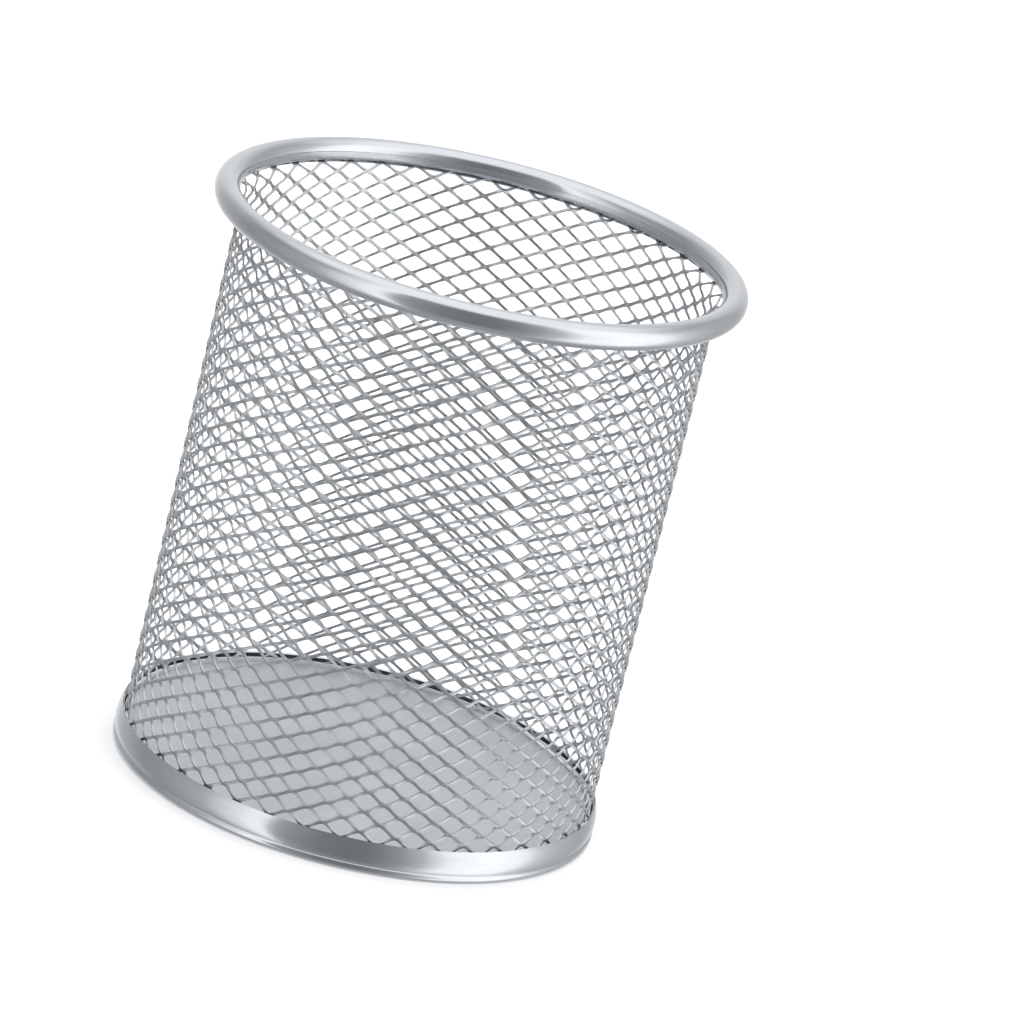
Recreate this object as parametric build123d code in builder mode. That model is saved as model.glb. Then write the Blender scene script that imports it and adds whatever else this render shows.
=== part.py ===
from build123d import *
from math import asin, cos, degrees, floor, pi, radians, sin, sqrt, tan
import os

# Mesh pen holder cup: an expanded steel sheet rolled into a sleeve, its top edge crimped in a
# rolled tube and its foot held between a pressed base disc and a rolled band.
# The origin is at the middle of the underside, +Z is up, and sizes are in millimetres.

# Overall sizes
overall_height = 99.5
rim_diameter = 90.0  # over the rolled rim
sleeve_diameter = 80.8  # over the mesh

# Expanded sheet of the sleeve
diamond_length = 6.05  # pitch round the sleeve, trimmed to give a whole number of diamonds
diamond_height = 3.5  # pitch up the sleeve
strand_width = 0.5
mesh_thickness = 0.6
plain_margin = 0.9  # uncut sheet left at least this high at both edges
rim_bend_degrees = 45  # by which the top edge turns out into the rim

# Rolled rim, a strip curled almost into a full tube
rim_tube_diameter = 4.3
rim_strip = 0.4
crimp_clearance = 0.05  # between the sheet and the strip that pinches it

# Band round the foot, one rolled strip from its top lip to the flange under the disc
band_height = 5.5
band_strip = 0.4
band_bulge = 1.1  # how far the band stands out past the mesh
bulge_height = 2.8  # where the band is widest
bead_diameter = 1.5  # rolled hem along the foot of the band
bead_wrap_degrees = 50  # by which the hem rolls on past its widest point
flange_width = 2.4  # flat lip turned in under the disc, measured from the outside of the mesh
band_clearance = 0.05  # between the lip of the band and the mesh

# Pressed base disc, a shallow pan turned upside down
floor_height = 4.15  # top of the disc above the underside
disc_thickness = 0.5
disc_corner = 0.6  # outer radius where the disc turns down into its skirt
disc_clearance = 0.1  # between the skirt and the mesh

# The sleeve is folded along straight lines, two flat facets to each diamond
sleeve_radius = sleeve_diameter / 2
diamonds_round = round(pi * sleeve_diameter / diamond_length)
facet_angle = pi / diamonds_round
flat_radius = sleeve_radius * cos(facet_angle / 2)
facet_width = 2 * flat_radius * tan(facet_angle / 2)

# Openings are rhombs, the full diamond drawn in until a strand is left between neighbours
full_length = 2 * facet_width
diamond_side = sqrt(full_length**2 + diamond_height**2)
opening_scale = 1 - strand_width * diamond_side / (full_length * diamond_height)
opening_length = opening_scale * full_length
opening_height = opening_scale * diamond_height

# The middle of the bent top edge points at the centre of the rim's tube
tube_radius = rim_tube_diameter / 2
tube_bore = tube_radius - rim_strip
tube_ring_radius = rim_diameter / 2 - tube_radius
tube_height = overall_height - tube_radius
bend = radians(rim_bend_degrees)
face_radius = tube_ring_radius + mesh_thickness / 2 * sin(bend)
face_height = tube_height - mesh_thickness / 2 * cos(bend)
bend_height = face_height - (face_radius - flat_radius) * tan(bend)
sheet_end = sqrt(tube_bore**2 - (mesh_thickness / 2) ** 2) - crimp_clearance

# Rows of openings, evenly set between the plain margins of the straight wall
lowest_row = band_strip + plain_margin + opening_height / 2
highest_row = bend_height - plain_margin - opening_height / 2
row_pitch = diamond_height / 2
row_steps = floor((highest_row - lowest_row) / row_pitch)
first_row = (lowest_row + highest_row - row_steps * row_pitch) / 2
row_heights = [first_row + step * row_pitch for step in range(row_steps + 1)]


def radial_plane(angle):
    """Upright plane that holds the axis and runs outwards at the angle."""
    return Plane((0, 0, 0), x_dir=(cos(angle), sin(angle), 0), z_dir=(sin(angle), -cos(angle), 0))


def facing_plane(angle, distance):
    """Upright plane at the distance from the axis, facing outwards at the angle."""
    outwards = Vector(cos(angle), sin(angle), 0)
    return Plane(outwards * distance, x_dir=(-sin(angle), cos(angle), 0), z_dir=outwards)


# Sleeve: one facet of the sheet and its mirror image make a column of diamonds.
# Openings on one fold line lie half a diamond higher than those on the next.
with BuildPart() as diamond_column:
    with BuildSketch(radial_plane(facet_angle / 2)):
        with BuildLine():
            Polyline(
                (flat_radius, band_strip),
                (flat_radius, bend_height),
                (face_radius + sheet_end * cos(bend), face_height + sheet_end * sin(bend)),
            )
            offset(amount=mesh_thickness, kind=Kind.INTERSECTION, side=Side.LEFT)
        make_face()
    extrude(amount=facet_width, both=True)
    with BuildSketch(facing_plane(facet_angle / 2, flat_radius + mesh_thickness)):
        near_fold = [(-facet_width / 2, height) for height in row_heights[0::2]]
        far_fold = [(facet_width / 2, height) for height in row_heights[1::2]]
        with Locations(*near_fold, *far_fold):
            Polygon(
                (opening_length / 2, 0),
                (0, opening_height / 2),
                (-opening_length / 2, 0),
                (0, -opening_height / 2),
            )
    extrude(amount=-3 * mesh_thickness, mode=Mode.SUBTRACT)
    split(bisect_by=radial_plane(0), keep=Keep.BOTTOM)
    split(bisect_by=radial_plane(facet_angle), keep=Keep.TOP)
    mirror(about=Plane.XZ)

with BuildPart() as mesh_wall:
    with PolarLocations(0, diamonds_round):
        add(diamond_column.part, clean=False)

# Rim: the strip starts and ends at the slit that grips the sheet
slit_half_degrees = degrees(asin((mesh_thickness / 2 + crimp_clearance) / tube_bore))
with BuildPart() as top_rim:
    with BuildSketch(Plane.XZ):
        with BuildLine():
            CenterArc(
                (tube_ring_radius, tube_height),
                tube_radius,
                180 + rim_bend_degrees + slit_half_degrees,
                360 - 2 * slit_half_degrees,
            )
            offset(amount=rim_strip, side=Side.LEFT)
        make_face()
    revolve(axis=Axis.Z)

# Band: lip, bulge, hem and flange of one strip
band_radius = sleeve_radius + band_bulge
bead_radius = bead_diameter / 2
bead_ring_radius = band_radius - bead_radius
with BuildPart() as base_band:
    with BuildSketch(Plane.XZ):
        with BuildLine():
            bead = CenterArc(
                (bead_ring_radius, bead_radius), bead_radius, bead_wrap_degrees, -bead_wrap_degrees - 90
            )
            lower = TangentArc((band_radius, bulge_height), bead @ 0, tangent=(0, -1))
            TangentArc(
                (band_radius, bulge_height),
                (sleeve_radius + band_clearance + band_strip, band_height),
                tangent=(0, 1),
            )
            Line(bead @ 1, (sleeve_radius - flange_width, 0))
            offset(amount=band_strip, side=Side.RIGHT)
        make_face()
    revolve(axis=Axis.Z)

# Disc: a flat floor whose skirt stands on the flange, inside the foot of the mesh
skirt_radius = flat_radius - mesh_thickness - disc_clearance
with BuildPart() as base_disc:
    with BuildSketch(Plane.XZ):
        with BuildLine():
            FilletPolyline(
                (skirt_radius, band_strip),
                (skirt_radius, floor_height),
                (0, floor_height),
                radius=disc_corner,
            )
            offset(amount=disc_thickness, side=Side.LEFT)
        make_face()
    revolve(axis=Axis.Z)

mesh_wall.part.label = "mesh_wall"
top_rim.part.label = "top_rim"
base_band.part.label = "base_band"
base_disc.part.label = "base_disc"

os.makedirs("parts", exist_ok=True)
export_step(mesh_wall.part, "parts/mesh_wall.step", write_pcurves=False)
export_step(top_rim.part, "parts/top_rim.step")
export_step(base_band.part, "parts/base_band.step")
export_step(base_disc.part, "parts/base_disc.step")
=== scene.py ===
from math import asin, ceil, cos, pi, radians, sin, tan

import bmesh
import bpy
from mathutils import Matrix, Vector


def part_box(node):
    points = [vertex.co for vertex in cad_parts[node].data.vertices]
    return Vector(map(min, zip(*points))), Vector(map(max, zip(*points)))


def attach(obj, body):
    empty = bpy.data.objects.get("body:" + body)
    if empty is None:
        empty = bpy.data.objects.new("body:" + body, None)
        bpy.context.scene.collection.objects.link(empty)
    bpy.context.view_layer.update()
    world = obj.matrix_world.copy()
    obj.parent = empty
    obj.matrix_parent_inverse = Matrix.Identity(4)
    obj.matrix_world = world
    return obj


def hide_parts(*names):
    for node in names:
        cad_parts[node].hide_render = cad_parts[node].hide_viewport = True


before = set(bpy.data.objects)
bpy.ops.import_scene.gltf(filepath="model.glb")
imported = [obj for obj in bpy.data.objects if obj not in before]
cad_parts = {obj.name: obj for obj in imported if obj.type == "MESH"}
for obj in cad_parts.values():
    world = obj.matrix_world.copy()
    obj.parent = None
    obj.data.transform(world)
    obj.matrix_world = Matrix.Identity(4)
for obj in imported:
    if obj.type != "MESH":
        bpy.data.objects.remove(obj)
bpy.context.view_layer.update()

# Desk cup for pens: a sleeve of expanded steel mesh, its top edge crimped in a rolled tube and
# its foot held between a pressed disc and a rolled band.


# ---------------------------------------------------------------------------------------------
# Sleeve. One sheet of mild steel is slit and pulled out into diamonds, which leaves each strand
# leaning like the slat of a louvre. It is rolled into a tube and sprayed with silver lacquer,
# and the presses that crimp its top and foot flatten the strands there.
# ---------------------------------------------------------------------------------------------

MM = 0.001
band_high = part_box("base_band")[1]
rim_low, rim_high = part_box("top_rim")

diamonds_round = 41.5
diamond_height = 3.5 * MM
rows_of_climb = 3  # the sheet is rolled a little askew, and the rows drop by this in one turn
sheet_inset = 1.4 * MM  # from the widest part of the band to the middle of the sheet
sheet_radius = band_high.x - sheet_inset
diamond_length = 2 * pi * sheet_radius / diamonds_round
sheet_thickness = 0.31 * MM
strand_width = 0.44 * MM
strand_lean = radians(33)
knuckle_reach = 0.64 * MM  # from the middle of a knuckle to the rounded end of a diamond
knuckle_rise = 0.33 * MM  # from the middle of a knuckle to the blunt corner of a diamond
upper_edge_start = 0.42  # where the two edges of a half strand leave the knuckle, as shares
lower_edge_start = 0.76  # of its reach
knuckle_hinge = 0.3  # height, as a share of the strand's rise, about which its root leans
first_row = 1.475 * MM
lowest_knuckle = 1.35 * MM
highest_knuckle = 98.9 * MM  # along the sheet, which bends before that
foot_margin = (0.55 * MM, 4.65 * MM)  # uncut edge of the sheet, from its foot to its top
margin_thickness = 0.28 * MM
tube_radius = (rim_high.z - rim_low.z) / 2
tube_ring_radius = rim_high.x - tube_radius
tube_height = rim_high.z - tube_radius
rim_bend = radians(45)
bend_height = tube_height - (tube_ring_radius - sheet_radius) / tan(rim_bend)
bend_length = 1.2 * MM
pressed_foot = (5.6 * MM, 8.5 * MM)  # the strands stand up to full relief between these
pressed_below_bend = 2 * MM
crimped_share = 0.62  # of the strands' relief that is left where the presses grip them


def hex_linear(code):
    """The linear colour, with alpha, of an sRGB hex code."""
    parts = [int(code[i : i + 2], 16) / 255 for i in (1, 3, 5)]
    return [p / 12.92 if p <= 0.04045 else ((p + 0.055) / 1.055) ** 2.4 for p in parts] + [1]


def add(tree, kind, settings, inputs):
    """Adds a node with its settings; an input is given a value, a socket or another node."""
    made = tree.nodes.new(kind)
    for name, value in settings.items():
        setattr(made, name, value)
    for key, value in inputs.items():
        if isinstance(value, bpy.types.Node):
            value = value.outputs[0]
        if isinstance(value, bpy.types.NodeSocket):
            tree.links.new(value, made.inputs[key])
        else:
            made.inputs[key].default_value = value
    return made


def add_knuckle(shape):
    """Draws a knuckle and its four half strands, seen from outside, with X along the sheet."""
    cut = shape.faces.layers.float_vector.new("cut")
    reach, rise = diamond_length / 4, diamond_height / 4
    strand = Vector((reach, rise))
    across = Vector((-rise, reach)).normalized() * strand_width / 2
    upper_end = strand + across
    lower_end = strand - across
    upper_mid = upper_end - strand * (upper_end.x / reach - upper_edge_start)
    lower_mid = lower_end - strand * (lower_end.x / reach - lower_edge_start)
    out = Vector((0, -cos(strand_lean), -sin(strand_lean))) * sheet_thickness / 2

    def corner(x, z, hinge, side):
        lean = Vector((x, -(z - hinge) * sin(strand_lean), hinge + (z - hinge) * cos(strand_lean)))
        return shape.verts.new(lean + side * out)

    def face(corners, turned, cut_towards=(0, 0, 0)):
        made = shape.faces.new(corners[::-1] if turned else corners)
        made[cut] = cut_towards

    skins = []
    for side in (1, -1):
        legs = {}
        for sx in (1, -1):
            for sz in (1, -1):
                root_hinge = sz * rise * knuckle_hinge
                legs[sx, sz] = [
                    corner(sx * upper_mid.x, sz * upper_mid.y, root_hinge, side),
                    corner(sx * upper_end.x, sz * upper_end.y, sz * rise, side),
                    corner(sx * lower_end.x, sz * lower_end.y, sz * rise, side),
                    corner(sx * lower_mid.x, sz * lower_mid.y, root_hinge, side),
                ]
        blunt = {sz: corner(0, sz * knuckle_rise, 0, side) for sz in (1, -1)}
        sharp = {sx: corner(sx * knuckle_reach, 0, 0, side) for sx in (1, -1)}
        face([sharp[1], blunt[1], sharp[-1], blunt[-1]], side == 1)
        for (sx, sz), (um, ue, le, lm) in legs.items():
            turned = (sx * sz < 0) != (side == -1)
            face([sharp[sx], lm, um, blunt[sz]], turned)
            face([lm, le, ue, um], turned)
        skins.append((legs, blunt, sharp))
    (front, front_blunt, front_sharp), (rear, rear_blunt, rear_sharp) = skins
    for (sx, sz), (um, ue, le, lm) in front.items():
        rear_um, rear_ue, rear_le, rear_lm = rear[sx, sz]
        turned = sx * sz < 0
        face([front_blunt[sz], um, rear_um, rear_blunt[sz]], turned)
        face([um, ue, rear_ue, rear_um], turned)
        face([le, lm, rear_lm, rear_le], turned)
        face([lm, front_sharp[sx], rear_sharp[sx], rear_lm], turned)
        face([ue, le, rear_le, rear_ue], turned, (sx, 0, sz))


shape = bmesh.new()
add_knuckle(shape)
mesh = bpy.data.meshes.new("sleeve")
shape.to_mesh(mesh)
shape.free()
sleeve = bpy.data.objects.new("sleeve", mesh)
bpy.context.collection.objects.link(sleeve)

# Silver lacquer over raw expanded steel: aluminium flakes give a satin metal look, a little
# grainy, and the strands turn from light to dark as they lean.
mesh_lacquer = bpy.data.materials.new("silver lacquered expanded steel")
mesh_lacquer.use_nodes = True
tree = mesh_lacquer.node_tree
tree.nodes.clear()
place = add(tree, "ShaderNodeTexCoord", {}, {})
flakes = add(  # drawn 0.3 mm wide, for flakes of 0.03 mm
    tree, "ShaderNodeTexNoise", {}, {"Vector": place.outputs["Object"], "Scale": 3500, "Detail": 2}
)
spray = add(
    tree,
    "ShaderNodeTexNoise",
    {},
    {"Vector": place.outputs["Object"], "Scale": 160, "Detail": 3},  # uneven spray over 6 mm
)
tone = add(tree, "ShaderNodeValToRGB", {}, {"Fac": spray})
tone.color_ramp.elements[0].position = 0.3
tone.color_ramp.elements[0].color = hex_linear("#B6BABD")
tone.color_ramp.elements[1].position = 0.7
tone.color_ramp.elements[1].color = hex_linear("#C8CBCE")
gloss = add(
    tree,
    "ShaderNodeMapRange",
    {},
    {"Value": spray, "From Min": 0.3, "From Max": 0.7, "To Min": 0.28, "To Max": 0.36},
)
grain = add(tree, "ShaderNodeBump", {}, {"Strength": 0.15, "Distance": 0.00003, "Height": flakes})
surface = add(
    tree,
    "ShaderNodeBsdfPrincipled",
    {},
    {"Base Color": tone, "Metallic": 0.9, "Roughness": gloss.outputs["Result"], "Normal": grain},
)
add(tree, "ShaderNodeOutputMaterial", {}, {"Surface": surface})

tree = bpy.data.node_groups.new("expanded sheet rolled into a sleeve", "GeometryNodeTree")
tree.interface.new_socket("Sheet", in_out="OUTPUT", socket_type="NodeSocketGeometry")
tree.interface.new_socket("Knuckle", in_out="INPUT", socket_type="NodeSocketGeometry")
sheet_inputs = {
    "Columns": ("NodeSocketInt", ceil(diamonds_round)),
    "Rows": ("NodeSocketInt", ceil(highest_knuckle / diamond_height * 2) + rows_of_climb),
    "Diamond Length": ("NodeSocketFloat", diamond_length),
    "Row Pitch": ("NodeSocketFloat", diamond_height / 2),
    "First Row": ("NodeSocketFloat", first_row),
    "Lowest": ("NodeSocketFloat", lowest_knuckle),
    "Highest": ("NodeSocketFloat", highest_knuckle),
    "Skew": ("NodeSocketFloat", -rows_of_climb * diamond_height / 2 / (2 * pi * sheet_radius)),
    "Sheet Radius": ("NodeSocketFloat", sheet_radius),
    "Bend Height": ("NodeSocketFloat", bend_height),
    "Rim Bend": ("NodeSocketFloat", rim_bend),
    "Crimped Share": ("NodeSocketFloat", crimped_share),
    "Finish": ("NodeSocketMaterial", mesh_lacquer),
}
sheet_sockets = {}
for name, (kind, value) in sheet_inputs.items():
    sheet_sockets[name] = tree.interface.new_socket(name, in_out="INPUT", socket_type=kind)
given = add(tree, "NodeGroupInput", {}, {})
size = given.outputs

# The flat sheet: every other row of knuckles is shifted by half a diamond, and the sheet is
# trimmed to one turn and to its two edges.
count = add(
    tree, "ShaderNodeMath", {"operation": "MULTIPLY"}, {0: size["Columns"], 1: size["Rows"]}
)
number = add(tree, "GeometryNodeInputIndex", {}, {})
share = add(tree, "ShaderNodeMath", {"operation": "DIVIDE"}, {0: number, 1: size["Columns"]})
row = add(tree, "ShaderNodeMath", {"operation": "FLOOR"}, {0: share})
column = add(tree, "ShaderNodeMath", {"operation": "MODULO"}, {0: number, 1: size["Columns"]})
odd = add(tree, "ShaderNodeMath", {"operation": "MODULO"}, {0: row, 1: 2.0})
shift = add(tree, "ShaderNodeMath", {"operation": "MULTIPLY_ADD"}, {0: odd, 1: 0.5, 2: column})
across = add(
    tree, "ShaderNodeMath", {"operation": "MULTIPLY"}, {0: shift, 1: size["Diamond Length"]}
)
upward = add(
    tree,
    "ShaderNodeMath",
    {"operation": "MULTIPLY_ADD"},
    {0: row, 1: size["Row Pitch"], 2: size["First Row"]},
)
level = add(
    tree, "ShaderNodeMath", {"operation": "MULTIPLY_ADD"}, {0: across, 1: size["Skew"], 2: upward}
)
spot = add(tree, "ShaderNodeCombineXYZ", {}, {"X": across, "Z": upward})
spots = add(tree, "GeometryNodePoints", {}, {"Count": count, "Position": spot})
marked = add(
    tree,
    "GeometryNodeStoreNamedAttribute",
    {"data_type": "FLOAT"},
    {"Geometry": spots, "Name": "level", "Value": level},
)
turned = add(tree, "ShaderNodeMath", {"operation": "DIVIDE"}, {0: across, 1: size["Sheet Radius"]})
past_turn = add(
    tree, "ShaderNodeMath", {"operation": "GREATER_THAN"}, {0: turned, 1: 2 * pi - 0.001}
)
under = add(tree, "ShaderNodeMath", {"operation": "LESS_THAN"}, {0: level, 1: size["Lowest"]})
over = add(tree, "ShaderNodeMath", {"operation": "GREATER_THAN"}, {0: level, 1: size["Highest"]})
beyond = add(tree, "ShaderNodeMath", {"operation": "ADD"}, {0: under, 1: over})
waste = add(tree, "ShaderNodeMath", {"operation": "ADD"}, {0: beyond, 1: past_turn})
trimmed = add(
    tree,
    "GeometryNodeDeleteGeometry",
    {"domain": "POINT"},
    {"Geometry": marked, "Selection": waste},
)
knuckles = add(
    tree,
    "GeometryNodeInstanceOnPoints",
    {},
    {"Points": trimmed, "Instance": size["Knuckle"]},
)
flat_sheet = add(tree, "GeometryNodeRealizeInstances", {}, {"Geometry": knuckles})

# A half strand keeps its cut end only where there is no knuckle beyond it.
cut = add(
    tree, "GeometryNodeInputNamedAttribute", {"data_type": "FLOAT_VECTOR"}, {"Name": "cut"}
)
cut_way = add(tree, "ShaderNodeSeparateXYZ", {}, {"Vector": cut})
here = add(tree, "GeometryNodeInputNamedAttribute", {"data_type": "FLOAT"}, {"Name": "level"})
half_step = add(
    tree, "ShaderNodeMath", {"operation": "MULTIPLY"}, {0: size["Diamond Length"], 1: 0.5}
)
slant = add(tree, "ShaderNodeMath", {"operation": "MULTIPLY"}, {0: half_step, 1: size["Skew"]})
aside = add(
    tree,
    "ShaderNodeMath",
    {"operation": "MULTIPLY_ADD"},
    {0: cut_way.outputs["X"], 1: slant, 2: here},
)
next_level = add(
    tree,
    "ShaderNodeMath",
    {"operation": "MULTIPLY_ADD"},
    {0: cut_way.outputs["Z"], 1: size["Row Pitch"], 2: aside},
)
above_low = add(
    tree, "ShaderNodeMath", {"operation": "GREATER_THAN"}, {0: next_level, 1: size["Lowest"]}
)
below_high = add(
    tree, "ShaderNodeMath", {"operation": "LESS_THAN"}, {0: next_level, 1: size["Highest"]}
)
is_end = add(tree, "ShaderNodeMath", {"operation": "ABSOLUTE"}, {0: cut_way.outputs["Z"]})
has_next = add(tree, "ShaderNodeMath", {"operation": "MULTIPLY"}, {0: above_low, 1: below_high})
inner_end = add(tree, "ShaderNodeMath", {"operation": "MULTIPLY"}, {0: is_end, 1: has_next})
opened = add(
    tree,
    "GeometryNodeDeleteGeometry",
    {"domain": "FACE", "mode": "ONLY_FACE"},
    {"Geometry": flat_sheet, "Selection": inner_end},
)

# The strands are pressed flatter at the foot and at the rim.
point = add(tree, "GeometryNodeInputPosition", {}, {})
flat = add(tree, "ShaderNodeSeparateXYZ", {}, {"Vector": point})
along = add(
    tree,
    "ShaderNodeMath",
    {"operation": "MULTIPLY_ADD"},
    {0: flat.outputs["X"], 1: size["Skew"], 2: flat.outputs["Z"]},
)
foot_relief = add(
    tree,
    "ShaderNodeMapRange",
    {"interpolation_type": "SMOOTHSTEP"},
    {
        "Value": along,
        "From Min": pressed_foot[0],
        "From Max": pressed_foot[1],
        "To Min": size["Crimped Share"],
        "To Max": 1.0,
    },
)
rim_zone = add(
    tree,
    "ShaderNodeMath",
    {"operation": "SUBTRACT"},
    {0: size["Bend Height"], 1: pressed_below_bend},
)
rim_relief = add(
    tree,
    "ShaderNodeMapRange",
    {"interpolation_type": "SMOOTHSTEP"},
    {
        "Value": along,
        "From Min": rim_zone,
        "From Max": size["Bend Height"],
        "To Min": 1.0,
        "To Max": size["Crimped Share"],
    },
)
relief = add(
    tree,
    "ShaderNodeMath",
    {"operation": "MULTIPLY"},
    {0: foot_relief.outputs["Result"], 1: rim_relief.outputs["Result"]},
)
depth = add(tree, "ShaderNodeMath", {"operation": "MULTIPLY"}, {0: flat.outputs["Y"], 1: relief})

# Its top edge is bent outwards into the rim, and the sheet is rolled round the axis.
past = add(
    tree, "ShaderNodeMath", {"operation": "SUBTRACT"}, {0: along, 1: size["Bend Height"]}
)
flare = add(tree, "ShaderNodeMath", {"operation": "MAXIMUM"}, {0: past, 1: 0.0})
upright = add(
    tree, "ShaderNodeMath", {"operation": "MINIMUM"}, {0: along, 1: size["Bend Height"]}
)
turn = add(
    tree,
    "ShaderNodeMapRange",
    {"interpolation_type": "SMOOTHSTEP"},
    {
        "Value": past,
        "From Min": -bend_length / 2,
        "From Max": bend_length / 2,
        "To Min": 0.0,
        "To Max": size["Rim Bend"],
    },
)
turn_sine = add(tree, "ShaderNodeMath", {"operation": "SINE"}, {0: turn.outputs["Result"]})
turn_cosine = add(tree, "ShaderNodeMath", {"operation": "COSINE"}, {0: turn.outputs["Result"]})
bend_sine = add(tree, "ShaderNodeMath", {"operation": "SINE"}, {0: size["Rim Bend"]})
bend_cosine = add(tree, "ShaderNodeMath", {"operation": "COSINE"}, {0: size["Rim Bend"]})
outward = add(
    tree,
    "ShaderNodeMath",
    {"operation": "MULTIPLY_ADD"},
    {0: flare, 1: bend_sine, 2: size["Sheet Radius"]},
)
inward = add(tree, "ShaderNodeMath", {"operation": "MULTIPLY"}, {0: depth, 1: turn_cosine})
radius = add(tree, "ShaderNodeMath", {"operation": "SUBTRACT"}, {0: outward, 1: inward})
climb = add(
    tree,
    "ShaderNodeMath",
    {"operation": "MULTIPLY_ADD"},
    {0: flare, 1: bend_cosine, 2: upright},
)
height = add(
    tree, "ShaderNodeMath", {"operation": "MULTIPLY_ADD"}, {0: depth, 1: turn_sine, 2: climb}
)
angle = add(
    tree,
    "ShaderNodeMath",
    {"operation": "DIVIDE"},
    {0: flat.outputs["X"], 1: size["Sheet Radius"]},
)
angle_sine = add(tree, "ShaderNodeMath", {"operation": "SINE"}, {0: angle})
angle_cosine = add(tree, "ShaderNodeMath", {"operation": "COSINE"}, {0: angle})
x = add(tree, "ShaderNodeMath", {"operation": "MULTIPLY"}, {0: radius, 1: angle_sine})
back_y = add(tree, "ShaderNodeMath", {"operation": "MULTIPLY"}, {0: radius, 1: angle_cosine})
y = add(tree, "ShaderNodeMath", {"operation": "MULTIPLY"}, {0: back_y, 1: -1.0})
rolled_place = add(tree, "ShaderNodeCombineXYZ", {}, {"X": x, "Y": y, "Z": height})
rolled = add(
    tree, "GeometryNodeSetPosition", {}, {"Geometry": opened, "Position": rolled_place}
)
joined = add(
    tree, "GeometryNodeMergeByDistance", {}, {"Geometry": rolled, "Distance": 0.01 * MM}
)
plain = add(tree, "GeometryNodeRemoveAttribute", {}, {"Geometry": joined, "Name": "cut"})
plain = add(tree, "GeometryNodeRemoveAttribute", {}, {"Geometry": plain, "Name": "level"})
finished = add(
    tree, "GeometryNodeSetMaterial", {}, {"Geometry": plain, "Material": size["Finish"]}
)
add(tree, "NodeGroupOutput", {}, {0: finished})

rolling = sleeve.modifiers.new("expanded sheet", "NODES")
rolling.node_group = tree
for name, (kind, value) in sheet_inputs.items():
    rolling[sheet_sockets[name].identifier] = value
evaluated = sleeve.evaluated_get(bpy.context.evaluated_depsgraph_get())
sleeve_mesh = bpy.data.meshes.new_from_object(evaluated)
sleeve.modifiers.clear()
sleeve.data = sleeve_mesh

# The sheet's foot is left uncut, and stands round the skirt of the disc.
shape = bmesh.new()
shape.from_mesh(sleeve_mesh)
margin_steps = 208
margin_turns = [2 * pi * n / margin_steps for n in range(margin_steps)]
margin_inner = sheet_radius - margin_thickness / 2
margin_outer = sheet_radius + margin_thickness / 2
margin_low, margin_high = foot_margin
margin_outline = [
    (margin_outer, margin_low),
    (margin_outer, margin_high),
    (margin_inner, margin_high),
    (margin_inner, margin_low),
]
rings = [
    [shape.verts.new((r * sin(turn), -r * cos(turn), z)) for turn in margin_turns]
    for r, z in margin_outline
]
for low, high in zip(rings, rings[1:] + rings[:1]):
    for n in range(margin_steps):
        after = (n + 1) % margin_steps
        shape.faces.new((low[n], low[after], high[after], high[n]))
shape.to_mesh(sleeve_mesh)
shape.free()
sleeve_mesh.polygons.foreach_set("use_smooth", [True] * len(sleeve_mesh.polygons))
sleeve_mesh.set_sharp_from_angle(angle=radians(35))

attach(sleeve, "root")
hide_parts("mesh_wall")


# ---------------------------------------------------------------------------------------------
# Rim. A strip of thin steel rolled almost into a full tube and bent to a ring, whose slit is
# closed by the press over the top edge of the sleeve.
# ---------------------------------------------------------------------------------------------


def arc(centre, radius, start, sweep, steps):
    """Points of an arc in the plane of the radius and the height, with angles in degrees."""
    turns = [radians(start + sweep * step / steps) for step in range(steps + 1)]
    return [(centre[0] + radius * cos(turn), centre[1] + radius * sin(turn)) for turn in turns]


def lathe(name, outline, steps, finish):
    """A ring or a disc turned about the axis, from an outline drawn clockwise in radius, height."""
    shape = bmesh.new()
    rings = []
    for radius, height in outline:
        if radius < 1e-9:
            rings.append([shape.verts.new((0, 0, height))] * steps)
            continue
        turns = [2 * pi * step / steps for step in range(steps)]
        rings.append(
            [shape.verts.new((radius * sin(turn), -radius * cos(turn), height)) for turn in turns]
        )
    lengths = [0.0]
    for (r0, z0), (r1, z1) in zip(outline, outline[1:] + outline[:1]):
        lengths.append(lengths[-1] + ((r1 - r0) ** 2 + (z1 - z0) ** 2) ** 0.5)
    widest = max(radius for radius, height in outline)
    unrolled = shape.loops.layers.uv.new("unrolled strip")
    for i in range(len(outline)):
        low, high = rings[i], rings[(i + 1) % len(outline)]
        for step in range(steps):
            after = (step + 1) % steps
            corners = [
                (low[step], step, i),
                (low[after], step + 1, i),
                (high[after], step + 1, i + 1),
                (high[step], step, i + 1),
            ]
            kept = [c for n, c in enumerate(corners) if c[0] not in [k[0] for k in corners[:n]]]
            if len(kept) < 3:
                continue
            made = shape.faces.new([vertex for vertex, turn, along in kept])
            made.smooth = True
            for loop, (vertex, turn, along) in zip(made.loops, kept):
                loop[unrolled].uv = (2 * pi * widest * turn / steps, lengths[along])
    bmesh.ops.recalc_face_normals(shape, faces=shape.faces)
    mesh = bpy.data.meshes.new(name)
    shape.to_mesh(mesh)
    shape.free()
    mesh.set_sharp_from_angle(angle=radians(40))
    mesh.materials.append(finish)
    made = bpy.data.objects.new(name, mesh)
    bpy.context.collection.objects.link(made)
    return made


rim_strip = 0.4 * MM
tube_bore = tube_radius - rim_strip
slit_width = 0.7 * MM
slit_degrees = 2 * asin(slit_width / 2 / tube_bore) * 180 / pi
slit_middle = 225  # degrees from the outside of the tube, which is down and inwards
rim_outline = arc(
    (tube_ring_radius, tube_height),
    tube_radius,
    slit_middle + slit_degrees / 2,
    360 - slit_degrees,
    64,
) + arc(
    (tube_ring_radius, tube_height),
    tube_bore,
    slit_middle - slit_degrees / 2,
    slit_degrees - 360,
    32,
)

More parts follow.
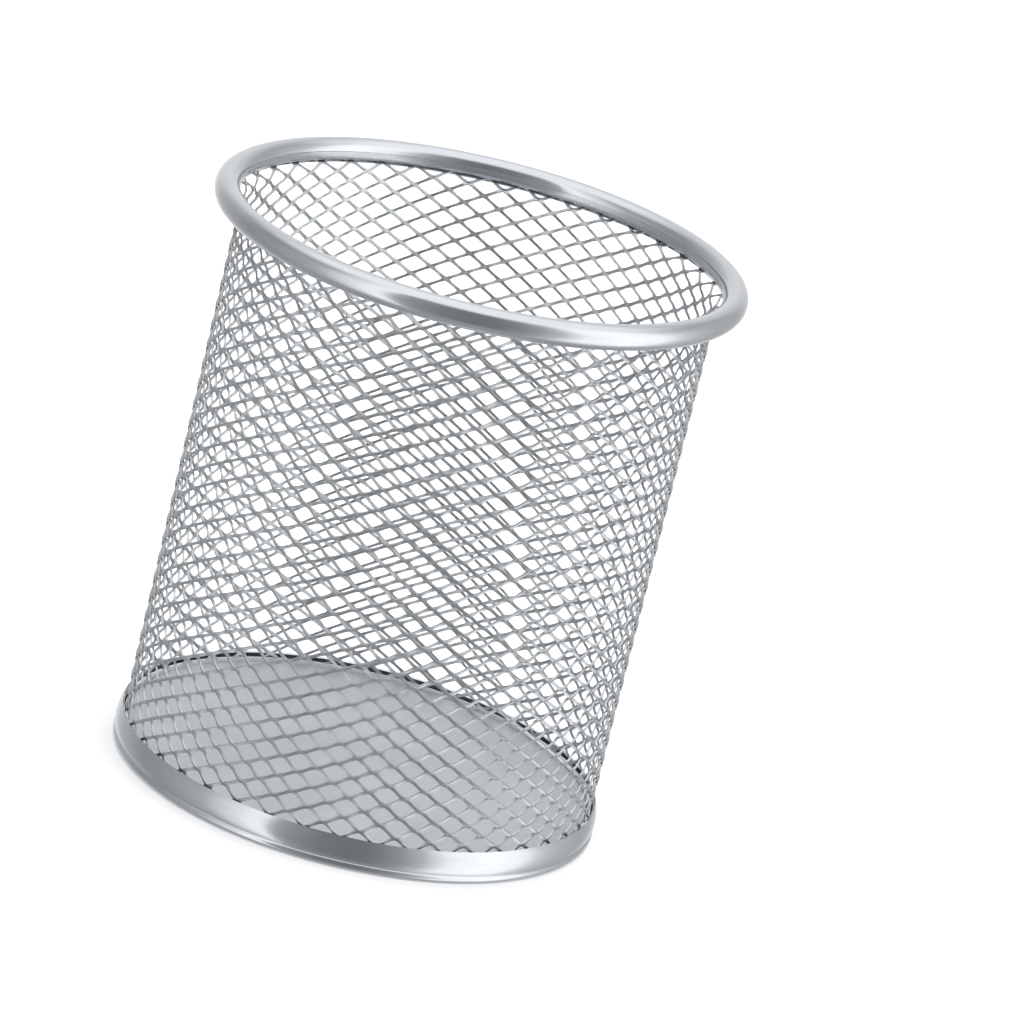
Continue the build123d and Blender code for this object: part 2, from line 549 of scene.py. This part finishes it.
# The same lacquer over smooth cold-rolled strip: clearer reflections in long bands, broken a
# little by the rolls' marks along the strip.
strip_lacquer = bpy.data.materials.new("silver lacquered rolled strip")
strip_lacquer.use_nodes = True
tree = strip_lacquer.node_tree
tree.nodes.clear()
place = add(tree, "ShaderNodeTexCoord", {}, {})
stretched = add(
    tree,
    "ShaderNodeMapping",
    {},
    {"Vector": place.outputs["UV"], "Scale": (120, 2600, 1)},  # marks 8 mm long and 0.4 mm apart
)
marks = add(tree, "ShaderNodeTexNoise", {}, {"Vector": stretched, "Scale": 1.0, "Detail": 3})
spray = add(
    tree,
    "ShaderNodeTexNoise",
    {},
    {"Vector": place.outputs["Object"], "Scale": 220, "Detail": 4},  # orange peel over 4 mm
)
flakes = add(  # drawn 0.25 mm wide, for flakes of 0.03 mm
    tree, "ShaderNodeTexNoise", {}, {"Vector": place.outputs["Object"], "Scale": 4000, "Detail": 1}
)
tone = add(tree, "ShaderNodeValToRGB", {}, {"Fac": marks})
tone.color_ramp.elements[0].position = 0.3
tone.color_ramp.elements[0].color = hex_linear("#C8CCD1")
tone.color_ramp.elements[1].position = 0.7
tone.color_ramp.elements[1].color = hex_linear("#CDD1D6")
gloss = add(
    tree,
    "ShaderNodeMapRange",
    {},
    {"Value": spray, "From Min": 0.3, "From Max": 0.7, "To Min": 0.09, "To Max": 0.13},
)
peel = add(tree, "ShaderNodeBump", {}, {"Strength": 0.25, "Distance": 0.00008, "Height": spray})
rolled_marks = add(
    tree,
    "ShaderNodeBump",
    {},
    {"Strength": 0.04, "Distance": 0.00003, "Height": marks, "Normal": peel},
)
grain = add(
    tree,
    "ShaderNodeBump",
    {},
    {"Strength": 0.06, "Distance": 0.00002, "Height": flakes, "Normal": rolled_marks},
)
surface = add(
    tree,
    "ShaderNodeBsdfPrincipled",
    {},
    {
        "Base Color": tone,
        "Metallic": 0.95,
        "Roughness": gloss.outputs["Result"],
        "Normal": grain,
        "Coat Weight": 0.15,
        "Coat Roughness": 0.15,
    },
)
add(tree, "ShaderNodeOutputMaterial", {}, {"Surface": surface})

rim = lathe("rim", rim_outline, 288, strip_lacquer)
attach(rim, "root")
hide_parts("top_rim")


# ---------------------------------------------------------------------------------------------
# Disc. The cup's floor is pressed from steel sheet as a shallow pan, turned upside down. Its
# skirt stands on the flange of the band and backs the foot of the sleeve.
# ---------------------------------------------------------------------------------------------

disc_low, disc_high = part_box("base_disc")
disc_thickness = 0.5 * MM
disc_corner = 0.6 * MM
skirt_radius = disc_high.x
corner_centre = (skirt_radius - disc_corner, disc_high.z - disc_corner)
disc_outline = (
    [(0, disc_high.z), (skirt_radius * 0.5, disc_high.z)]
    + arc(corner_centre, disc_corner, 90, -90, 8)
    + [(skirt_radius, disc_low.z), (skirt_radius - disc_thickness, disc_low.z)]
    + arc(corner_centre, disc_corner - disc_thickness, 0, 90, 3)
    + [(skirt_radius * 0.5, disc_high.z - disc_thickness), (0, disc_high.z - disc_thickness)]
)

# Silver lacquer over pressed sheet: matter than the strip, with a fine orange peel and the
# faint rings that the press leaves.
disc_lacquer = bpy.data.materials.new("silver lacquered pressed sheet")
disc_lacquer.use_nodes = True
tree = disc_lacquer.node_tree
tree.nodes.clear()
place = add(tree, "ShaderNodeTexCoord", {}, {})
peel = add(
    tree,
    "ShaderNodeTexNoise",
    {},
    {"Vector": place.outputs["Object"], "Scale": 900, "Detail": 3},  # orange peel of 1.1 mm
)
cloud = add(
    tree,
    "ShaderNodeTexNoise",
    {},
    {"Vector": place.outputs["Object"], "Scale": 60, "Detail": 2},  # clouds of 16 mm
)
rings = add(
    tree,
    "ShaderNodeTexWave",
    {"wave_type": "RINGS", "rings_direction": "Z"},
    {"Vector": place.outputs["Object"], "Scale": 120, "Distortion": 0.6, "Detail": 2},
)
tone = add(tree, "ShaderNodeValToRGB", {}, {"Fac": cloud})
tone.color_ramp.elements[0].position = 0.35
tone.color_ramp.elements[0].color = hex_linear("#CDD2D6")
tone.color_ramp.elements[1].position = 0.65
tone.color_ramp.elements[1].color = hex_linear("#D6DBDF")
gloss = add(
    tree,
    "ShaderNodeMapRange",
    {},
    {"Value": peel, "From Min": 0.3, "From Max": 0.7, "To Min": 0.42, "To Max": 0.52},
)
pressed = add(tree, "ShaderNodeBump", {}, {"Strength": 0.05, "Distance": 0.00002, "Height": rings})
peeled = add(
    tree,
    "ShaderNodeBump",
    {},
    {"Strength": 0.3, "Distance": 0.00004, "Height": peel, "Normal": pressed},
)
surface = add(
    tree,
    "ShaderNodeBsdfPrincipled",
    {},
    {"Base Color": tone, "Metallic": 0.85, "Roughness": gloss.outputs["Result"], "Normal": peeled},
)
add(tree, "ShaderNodeOutputMaterial", {}, {"Surface": surface})

disc = lathe("disc", disc_outline, 192, disc_lacquer)
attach(disc, "root")
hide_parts("base_disc")


# ---------------------------------------------------------------------------------------------
# Band. One strip rolled round the foot: a lip that grips the sleeve, a bulge, a small hem
# that the cup stands on, and a flange turned in under the disc.
# ---------------------------------------------------------------------------------------------

band_radius = band_high.x
band_strip = 0.4 * MM
sleeve_face = band_radius - 1.1 * MM
lip = (sleeve_face + 0.45 * MM, band_high.z)
bulge_height = 2.8 * MM
bead_radius = 0.75 * MM
bead_centre = (band_radius - bead_radius, bead_radius)
flange_reach = sleeve_face - 2.4 * MM


def arc_from(start, end, upward, steps):
    """Arc that leaves the start upright, going up or down, and passes through the end."""
    across, climb = end[0] - start[0], end[1] - start[1]
    radius = -(across**2 + climb**2) / (2 * across)
    sweep = 2 * asin(min(1, (across**2 + climb**2) ** 0.5 / (2 * radius)))
    centre = (start[0] - radius, start[1])
    return arc(centre, radius, 0, (sweep if upward else -sweep) * 180 / pi, steps)


def inset(outline, distance):
    """The outline moved to its right by the distance, for the inner face of a bent strip."""
    moved = []
    for n, (x, z) in enumerate(outline):
        x0, z0 = outline[max(n - 1, 0)]
        x1, z1 = outline[min(n + 1, len(outline) - 1)]
        length = ((x1 - x0) ** 2 + (z1 - z0) ** 2) ** 0.5
        moved.append((x + (z1 - z0) / length * distance, z - (x1 - x0) / length * distance))
    return moved


bead = arc(bead_centre, bead_radius, 50, -140, 18)
upper_side = arc_from((band_radius, bulge_height), lip, True, 16)[::-1]
lower_side = arc_from((band_radius, bulge_height), bead[0], False, 10)
outer_face = upper_side + lower_side[1:-1]
inner_face = inset(upper_side + lower_side[1:], band_strip)
bead_inner = arc(bead_centre, bead_radius - band_strip, 50, -140, 10)
band_outline = (
    outer_face
    + bead
    + [(flange_reach, 0), (flange_reach, band_strip)]
    + bead_inner[::-1]
    + inner_face[::-1][1:]
)

band = lathe("foot_band", band_outline, 288, strip_lacquer)
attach(band, "root")
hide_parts("base_band")


# ---------------------------------------------------------------------------------------------
# Floor, light and camera. A pale table top under a bright studio, with the dark end of the
# room behind the camera.
# ---------------------------------------------------------------------------------------------

shape = bmesh.new()
bmesh.ops.create_circle(shape, cap_ends=True, segments=96, radius=3.0)
mesh = bpy.data.meshes.new("floor")
shape.to_mesh(mesh)
shape.free()
floor = bpy.data.objects.new("floor", mesh)
floor.visible_glossy = False
bpy.context.collection.objects.link(floor)
white_table = bpy.data.materials.new("white laminate")
white_table.use_nodes = True
tree = white_table.node_tree
tree.nodes.clear()
surface = add(
    tree,
    "ShaderNodeBsdfPrincipled",
    {},
    {
        "Base Color": hex_linear("#F4F5F6"),
        "Roughness": 0.9,
        "Specular IOR Level": 0.2,
        "Emission Color": hex_linear("#FFFFFF"),
        "Emission Strength": 0.12,
    },
)
add(tree, "ShaderNodeOutputMaterial", {}, {"Surface": surface})
mesh.materials.append(white_table)

studio = bpy.data.worlds.new("studio")
bpy.context.scene.world = studio
studio.use_nodes = True
tree = studio.node_tree
tree.nodes.clear()
direction = add(tree, "ShaderNodeTexCoord", {}, {})
parts = add(tree, "ShaderNodeSeparateXYZ", {}, {"Vector": direction.outputs["Generated"]})
ahead = add(tree, "ShaderNodeMath", {"operation": "MULTIPLY"}, {0: parts.outputs["Y"], 1: -1.0})
azimuth = add(tree, "ShaderNodeMath", {"operation": "ARCTAN2"}, {0: parts.outputs["X"], 1: ahead})
round_room = add(
    tree, "ShaderNodeMapRange", {}, {"Value": azimuth, "From Min": -pi, "From Max": pi}
)
walls = add(tree, "ShaderNodeValToRGB", {}, {"Fac": round_room.outputs["Result"]})
walls.color_ramp.interpolation = "LINEAR"
wall_lights = {  # brightness by degrees round the room, with the camera's end at 0
    -180: 0.92,
    -160: 0.86,
    -144: 0.62,
    -128: 0.51,
    -110: 0.38,
    -96: 0.41,
    -80: 0.49,
    -67: 0.58,
    -60: 0.84,
    -53: 1.04,
    -46: 1.22,
    -41: 1.42,
    -35: 1.38,
    -30: 0.56,
    -24: 0.40,
    -8: 0.25,
    6: 0.21,
    16: 0.24,
    30: 0.40,
    41: 0.72,
    53: 1.45,
    74: 1.65,
    91: 1.50,
    103: 0.90,
    116: 0.66,
    134: 0.54,
    148: 0.56,
    162: 0.76,
    180: 0.92,
}
while len(walls.color_ramp.elements) < len(wall_lights):
    walls.color_ramp.elements.new(0.5)
for element, (turn, level) in zip(walls.color_ramp.elements, wall_lights.items()):
    element.position = (turn + 180) / 360
    element.color = (level, level, level, 1)

# Overhead the walls give way to a ceiling, lower at the camera's end, and below to the table.
ceiling_light = 1.3
table_light = 0.42
towards_front = add(tree, "ShaderNodeMath", {"operation": "MAXIMUM"}, {0: ahead, 1: 0.0})
ceiling = add(
    tree,
    "ShaderNodeMath",
    {"operation": "MULTIPLY_ADD"},
    {0: towards_front, 1: -0.25, 2: parts.outputs["Z"]},
)
overhead = add(
    tree,
    "ShaderNodeMapRange",
    {"interpolation_type": "SMOOTHSTEP"},
    {"Value": ceiling, "From Min": 0.56, "From Max": 0.9},
)
upper = add(
    tree,
    "ShaderNodeMix",
    {"data_type": "RGBA"},
    {
        "Factor": overhead.outputs["Result"],
        6: walls.outputs["Color"],
        7: (ceiling_light, ceiling_light, ceiling_light, 1),
    },
)
below = add(
    tree,
    "ShaderNodeMapRange",
    {"interpolation_type": "SMOOTHSTEP"},
    {"Value": parts.outputs["Z"], "From Min": -0.6, "From Max": -0.97},
)
room = add(
    tree,
    "ShaderNodeMix",
    {"data_type": "RGBA"},
    {
        "Factor": below.outputs["Result"],
        6: upper.outputs[2],
        7: (table_light, table_light, table_light, 1),
    },
)
lit = add(tree, "ShaderNodeBackground", {}, {"Color": room.outputs[2], "Strength": 1.0})
plain = add(tree, "ShaderNodeBackground", {}, {"Color": (1, 1, 1, 1), "Strength": 1.0})
seen = add(tree, "ShaderNodeLightPath", {}, {})
mixed = add(
    tree, "ShaderNodeMixShader", {}, {0: seen.outputs["Is Camera Ray"], 1: lit, 2: plain}
)
add(tree, "ShaderNodeOutputWorld", {}, {"Surface": mixed})

softbox_data = bpy.data.lights.new("overhead softbox", "AREA")
softbox_data.shape = "SQUARE"
softbox_data.size = 1.4
softbox_data.energy = 12
softbox = bpy.data.objects.new("overhead softbox", softbox_data)
softbox.location = (0, 0.3, 1.3)
softbox.visible_glossy = False
bpy.context.collection.objects.link(softbox)
bpy.context.scene.view_settings.view_transform = "Standard"

camera_data = bpy.data.cameras.new("camera")
camera_data.sensor_width = 36
camera_data.lens = 240.7
camera_place = Vector((0, -1081.0, 415.6)) * MM
camera_aim = Vector((15.39, 0, 52.8)) * MM
camera_roll = 0.2407
ahead = (camera_aim - camera_place).normalized()
right = ahead.cross(Vector((0, 0, 1))).normalized()
above = right.cross(ahead)
rolled_right = right * cos(camera_roll) + above * sin(camera_roll)
rolled_above = above * cos(camera_roll) - right * sin(camera_roll)
turned = Matrix((rolled_right, rolled_above, -ahead)).transposed().to_4x4()
camera = bpy.data.objects.new("camera", camera_data)
camera.matrix_world = Matrix.Translation(camera_place) @ turned
bpy.context.collection.objects.link(camera)
bpy.context.scene.camera = camera
